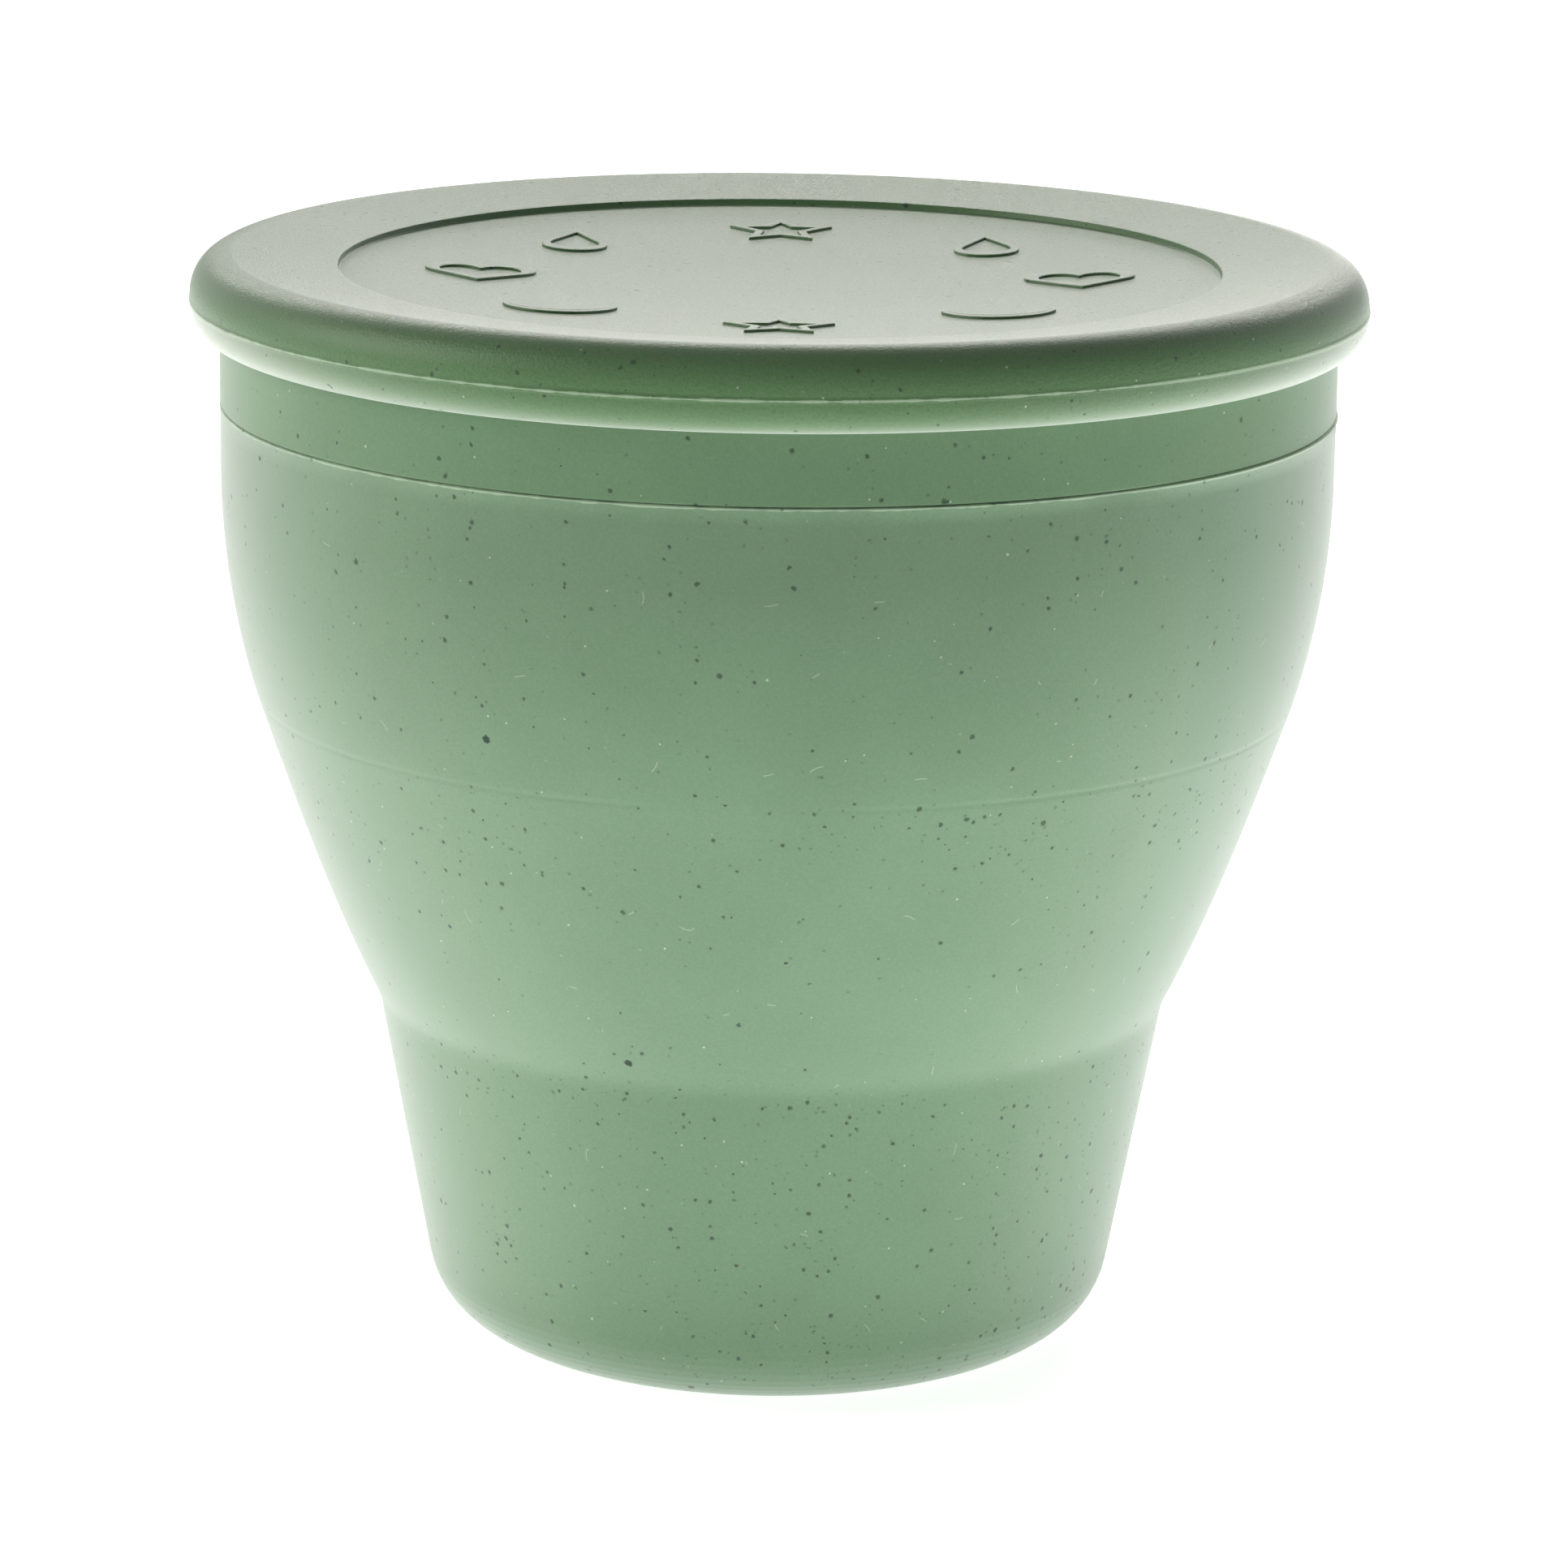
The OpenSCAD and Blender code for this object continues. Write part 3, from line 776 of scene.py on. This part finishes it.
# %% [markdown]
# The thin ridges that the mould leaves catch the light and look paler than the wall. A hair of colour at
# the ridge's height shows this even where the ridge is thinner than a pixel. Noise round the axis makes
# it come and go, and it is strong all along the cup's right side.

# %% Thin moulding ridges
flash, given, result = group(
    "flash",
    [("Place", VECTOR, None), ("Height", FLOAT, 80.0), ("Half height", FLOAT, 0.15), ("Beyond", FLOAT, 40.0)],
    [("Mask", FLOAT)])
place_mm = vector(flash, "SCALE", given["Place"], scale=1 / MM)
x, _, z = axes(flash, place_mm)
flat_place = vector(flash, "MULTIPLY", place_mm, (1, 1, 0))
outer_side = calc(flash, "GREATER_THAN", vector(flash, "LENGTH", flat_place), given["Beyond"])
thick = fade(flash, noise(flash, flat_place, 0.6)[0], 0.3, 0.7, 0.35, 1.15)
thick = calc(flash, "MAXIMUM", thick, fade(flash, x, 20.0, 32.0, 0.0, 1.2))
reach = product(flash, given["Half height"], thick)
from_line = calc(flash, "ABSOLUTE", calc(flash, "SUBTRACT", z, given["Height"]))
on_line = fade(flash, from_line, reach, product(flash, reach, 0.4))
feed(flash, result["Mask"], product(flash, on_line, outer_side))
print("flash:", len(flash.nodes), "nodes")

# %% [markdown]
# Flecks aren't spread evenly. On the real cup they crowd in the foot and in a band at the upper crease,
# thin out on the fold, and elsewhere come in loose clouds. One number per place says which share of the
# cells holds a fleck.


# %% Where the flecks crowd
def use(tree, node_group, **values):
    """A group placed in a material with its own values."""
    node = put(tree, "ShaderNodeGroup", node_tree=node_group)
    for label, value in values.items():
        feed(tree, node.inputs[label.replace("_", " ")], value)
    return node.outputs


def crowding(tree, place, height):
    """Share of the cells that hold a fleck at a place, given its height in millimetres."""
    crowd = fade(tree, use(tree, skin, Place=place, Cloud_size=9.0)["Cloud"], 0.38, 0.62, 0.25, 1.0)
    in_foot = fade(tree, height, LOWER_H + 1.5, LOWER_H - 1.5)
    under_crease = product(tree, fade(tree, height, UPPER_H + 1, UPPER_H - 2),
                           fade(tree, height, UPPER_H - 16, UPPER_H - 8), 0.75)
    off_crease = calc(tree, "ABSOLUTE", calc(tree, "SUBTRACT", height, UPPER_H - 0.6))
    at_crease = fade(tree, off_crease, 1.4, 0.4)
    dense = calc(tree, "MAXIMUM", calc(tree, "MAXIMUM", in_foot, at_crease), under_crease)
    on_fold = product(tree, fade(tree, height, LOWER_H, LOWER_H + 2),
                      fade(tree, height, UPPER_H - 4, UPPER_H - 11))
    thinned = fade(tree, on_fold, 0.0, 1.0, 1.0, 0.4)
    return product(tree, crowd, thinned, fade(tree, dense, 0.0, 1.0, 0.5, 1.0))


# %% [markdown]
# The colour is built up in layers, from the inside out: the pigment's clouds, a painted reflection that pales
# it towards the glancing edges, the ridge, four sizes of dark flecks, and the dust and lint on top. The grain
# shifts the roughness a little and, with the dust, gives the bump.

# %% Silicone
FLECK, LINT, FLASH = (0.02, 0.035, 0.03, 1), (0.62, 0.72, 0.58, 1), (0.56, 0.72, 0.52, 1)
# The first colour below is the near-white of a painted reflection, towards which the silicone pales where it
# is seen at a glancing angle.
PAINTED_REFLECTION, CUP_GLOSS = (0.88, 0.9, 0.86, 1), (0.65, 1.0, 0.6, 1)
# spacing, radius, fixed share, raggedness, softness and darkness of each size of fleck
FLECK_SIZES = [(0.78, 0.15, None, 0.15, 0.9, 0.4), (1.1, 0.19, None, 0.25, 0.7, 0.75),
               (1.9, 0.22, None, 0.35, 0.5, 0.7), (5.5, 0.27, 0.45, 0.5, 0.35, 0.9)]


def painted(tree, colour, rest, place, reflection_paint, low_reflection_paint, ridge):
    """The silicone's colour, and the mask of what lies on it."""
    height = calc(tree, "DIVIDE", axes(tree, rest)[2], MM)
    body = use(tree, skin, Place=place)
    deep, pale = (tuple(channel * k for channel in colour[:3]) + (1,) for k in (0.97, 1.03))
    paint = tint(tree, fade(tree, body["Cloud"], 0.35, 0.65), deep, pale)
    paint = tint(tree, fade(tree, body["Grain"], 0.3, 0.75, 0.0, 0.05), paint, LINT)
    # Painted reflection: the colour pales towards near-white where the surface is seen at a glancing angle,
    # and on the cover more strongly below its ridge, where the bead's underside faces the glowing table.
    if low_reflection_paint:
        reflection_paint = fade(tree, height, ridge[0] + 0.3, ridge[0] - 0.3, reflection_paint, low_reflection_paint)
    edge = put(tree, "ShaderNodeLayerWeight").outputs["Facing"]
    paint = tint(tree, product(tree, edge, edge, reflection_paint), paint, PAINTED_REFLECTION)
    if ridge:
        line = use(tree, flash, Place=rest, Height=ridge[0], Half_height=ridge[1], Beyond=ridge[2])["Mask"]
        paint = tint(tree, product(tree, line, 0.6), paint, FLASH)
    share = crowding(tree, place, height)
    for spacing, radius, fixed, ragged, softness, darkness in FLECK_SIZES:
        dots = use(tree, flecks, Place=place, Spacing=spacing, Radius=radius, Share=fixed or share,
                   Ragged=ragged, Softness=softness)["Mask"]
        paint = tint(tree, product(tree, dots, darkness), paint, FLECK)
    dust = use(tree, flecks, Place=vector(tree, "ADD", place, (0.05, 0.02, 0.07)), Spacing=1.5, Radius=0.1,
               Share=0.7, Ragged=0.05, Softness=0.6)["Mask"]
    threads = use(tree, lint, Place=place, Spacing=7.0, Length=0.5, Width=0.06, Share=0.4)["Mask"]
    on_top = calc(tree, "MAXIMUM", product(tree, dust, 0.6), product(tree, threads, 0.35))
    return tint(tree, on_top, paint, LINT), on_top


def silicone(name, colour, shift, roughness, sheen, reflection_paint, ridge=None, low_reflection_paint=None, gloss=0.3,
             gloss_tint=CUP_GLOSS, grain_depth=0.25):
    """Speckled matte silicone; shift moves the pattern, so that no two mouldings carry the same dots.

    ridge is the height and half height of the moulding's thin ridge and the radius beyond which it lies. Two
    numbers set a painted reflection, which pales the colour where the surface is seen at a glancing angle:
    one for the whole moulding, and one for below the ridge.
    """
    material = bpy.data.materials.new(name)
    material.use_nodes = True
    tree = material.node_tree
    tree.nodes.clear()
    rest = put(tree, "ShaderNodeAttribute", attribute_name="rest").outputs["Vector"]
    place = vector(tree, "ADD", rest, shift)
    paint, on_top = painted(tree, colour, rest, place, reflection_paint, low_reflection_paint, ridge)
    grain = use(tree, skin, Place=place)["Grain"]
    bump = put(tree, "ShaderNodeBump")
    feed(tree, bump.inputs["Strength"], grain_depth)
    feed(tree, bump.inputs["Distance"], 0.04 * MM)
    feed(tree, bump.inputs["Height"], calc(tree, "ADD", grain, on_top))
    spread = 0.1 * grain_depth
    rough = fade(tree, grain, 0.2, 0.8, roughness - spread, roughness + spread)
    shader = put(tree, "ShaderNodeBsdfPrincipled")
    for label, value in {
            "Base Color": paint, "Roughness": rough, "Normal": bump.outputs[0], "IOR": 1.45,
            "Specular IOR Level": gloss, "Specular Tint": gloss_tint, "Sheen Weight": sheen,
            "Sheen Roughness": 0.35, "Subsurface Weight": 0.15, "Subsurface Scale": 1 * MM,
            "Subsurface Radius": (0.4, 0.8, 0.4)}.items():
        feed(tree, shader.inputs[label], value)
    tree.links.new(shader.outputs[0], put(tree, "ShaderNodeOutputMaterial").inputs[0])
    return material


# %% [markdown]
# The three mouldings come from three moulds and get three greens. The cup is the palest and the most matt.
# The cover is darker and has more gloss, and its top mirrors the studio's back wall at a glancing angle.

# %% Three mouldings, three greens
GREEN, LID_GREEN, COVER_GREEN = (0.17, 0.278, 0.173, 1), (0.155, 0.27, 0.151, 1), (0.097, 0.207, 0.082, 1)
# The sixth number given to each is how strongly its colour is painted with reflection at glancing angles.
materials = {
    "cup_silicone": silicone("cup_silicone", GREEN, (0.0, 0.0, 0.0), 0.46, 0.5, 0.31,
                             ridge=(RIDGE_AT, 0.2, BOWL_R - 0.3)),
    "lid_silicone": silicone("lid_silicone", LID_GREEN, (0.31, 0.12, 0.0), 0.46, 0.4, 0.1),
    "cover_silicone": silicone("cover_silicone", COVER_GREEN, (0.17, 0.43, 0.2), 0.36, 0.12, 0.1,
                               ridge=(LINE_AT, 0.15, COVER_R - 0.1), low_reflection_paint=0.8, gloss=0.5,
                               gloss_tint=(0.85, 1.0, 0.8, 1), grain_depth=1.0)}
for prefix, slot in {"cup_skin": "cup_silicone", "snack_lid_skin": "lid_silicone", "flap_": "lid_silicone",
                     "cover_skin": "cover_silicone", "figure_": "cover_silicone"}.items():
    for piece in bpy.data.objects:
        if piece.name.startswith(prefix):
            piece.data.materials.append(materials[slot])
print("materials:", ", ".join(materials))

# %% [markdown]
# ## The studio
#
# The cup stands on a white table in front of a white wall of light, which pales its edges: a surface seen at
# a glancing angle mirrors what is behind it. A painted reflection in the silicone's colour pales them
# further. The front stays dimmer, so the middle of the cup keeps its colour. The world's light depends on
# direction for that, and the camera sees it as plain white.

# %% Floor
TABLE_SIDE = 3.0
half = TABLE_SIDE / 2
corners = [(-half, -half, 0), (half, -half, 0), (half, half, 0), (-half, half, 0)]
floor_mesh = bpy.data.meshes.new("table")
floor_mesh.from_pydata(corners, [], [(0, 1, 2, 3)])
table = bpy.data.objects.new("table", floor_mesh)
bpy.context.collection.objects.link(table)
print(f"table {TABLE_SIDE} m square")

# %% [markdown]
# Most of the light on the cup comes up from the table, so the table glows, most strongly in a ring just
# outside the foot, and a little more on the right. Rays that come straight from the camera or off a
# mirroring surface see an even white instead.


# %% The glowing table
def seen_directly(tree):
    """1 for rays that show the surroundings: from the camera, mirrored or refracted."""
    path = put(tree, "ShaderNodeLightPath").outputs
    return calc(tree, "MAXIMUM", path["Is Camera Ray"],
                calc(tree, "MAXIMUM", path["Is Glossy Ray"], path["Is Transmission Ray"]))


white = bpy.data.materials.new("white_table")
white.use_nodes = True
tree = white.node_tree
board = tree.nodes["Principled BSDF"]
board.inputs["Base Color"].default_value = (0.88, 0.88, 0.88, 1)
board.inputs["Roughness"].default_value = 0.7
board.inputs["Emission Color"].default_value = (1, 1, 1, 1)
place = put(tree, "ShaderNodeTexCoord").outputs["Object"]
from_cup = vector(tree, "LENGTH", place)
ring = product(tree, fade(tree, from_cup, 0.028, 0.055, 0.72, 1.75),
               fade(tree, from_cup, 0.12, 0.4, 1.0, 0.1),
               fade(tree, axes(tree, place)[0], 0.0, 0.1, 1.0, 1.4))
even_white = fade(tree, from_cup, 0.15, 0.5, 0.8, 1.0)
feed(tree, board.inputs["Emission Strength"], mixed(tree, seen_directly(tree), ring, even_white))
table.data.materials.append(white)
print("table:", len(tree.nodes), "nodes")

# %% [markdown]
# The world lights the cup from behind and low, with a touch from either side and almost nothing from
# the front. A mirrored wall is a little dimmer than the white that the camera sees.

# %% Light from the studio's walls
MIRRORED_WHITE, WALL_LIGHT = 0.8, 0.8
world = bpy.data.worlds.new("studio")
bpy.context.scene.world = world
world.use_nodes = True
tree = world.node_tree
tree.nodes.clear()
x, y, z = axes(tree, put(tree, "ShaderNodeTexCoord").outputs["Generated"])
behind = product(tree, fade(tree, y, -0.1, 0.6), 1.3)
rightwards = fade(tree, x, 0.35, 0.9, 0.0, 0.2)
leftwards = product(tree, fade(tree, x, -0.3, -0.9, 0.0, 0.2), fade(tree, z, 0.9, 0.6),
                    fade(tree, z, 0.05, 0.3, 0.4, 1.0))
glow = product(tree, calc(tree, "ADD", behind, rightwards), fade(tree, z, 0.5, 0.1))
room = fade(tree, z, 0.0, 0.6, 0.09, 0.02)
glow = product(tree, calc(tree, "ADD", calc(tree, "ADD", glow, leftwards), room), WALL_LIGHT)
in_picture = put(tree, "ShaderNodeLightPath").outputs["Is Camera Ray"]
wall = mixed(tree, in_picture, MIRRORED_WHITE, 1.0)
background = put(tree, "ShaderNodeBackground")
feed(tree, background.inputs["Color"], (1, 1, 1, 1))
feed(tree, background.inputs["Strength"], mixed(tree, seen_directly(tree), glow, wall))
tree.links.new(background.outputs[0], put(tree, "ShaderNodeOutputWorld").inputs[0])
print("world:", len(tree.nodes), "nodes")

# %% [markdown]
# Three weak lamps shape what the walls leave flat. The low one behind whitens the front of the cover's
# top, where the light glances off it. The high one behind brightens the far side of the rim. The soft
# box on the left lays a broad pale patch on the cover's edge.

# %% Lamps
LAMP_TINT, LAMP_AIM = (1.0, 0.97, 0.92), Vector((0, 0, 0.09))


def lamp(name, at, wide, tall, watts):
    """A soft rectangular lamp that faces the cup's upper part and isn't itself in the picture."""
    light = bpy.data.lights.new(name, "AREA")
    light.shape = "RECTANGLE"
    light.size, light.size_y, light.energy = wide, tall, watts
    light.color = LAMP_TINT
    holder = bpy.data.objects.new(name, light)
    holder.location = at
    holder.rotation_euler = (LAMP_AIM - Vector(at)).to_track_quat("-Z", "Y").to_euler()
    holder.visible_camera = False
    bpy.context.collection.objects.link(holder)


lamp("low_back_lamp", (0.08, 0.75, 0.1), 0.34, 0.2, 0.6)
lamp("high_back_lamp", (0, 0.6, 0.38), 0.7, 0.12, 1.3)
lamp("left_lamp", (-0.57, -0.06, 0.38), 0.46, 0.4, 1.55)
print("lamps:", len(bpy.data.lights))

# %% [markdown]
# Last, the colours are shown as they were written, without a film look.

# %% Colours as written
bpy.context.scene.view_settings.view_transform = "Standard"
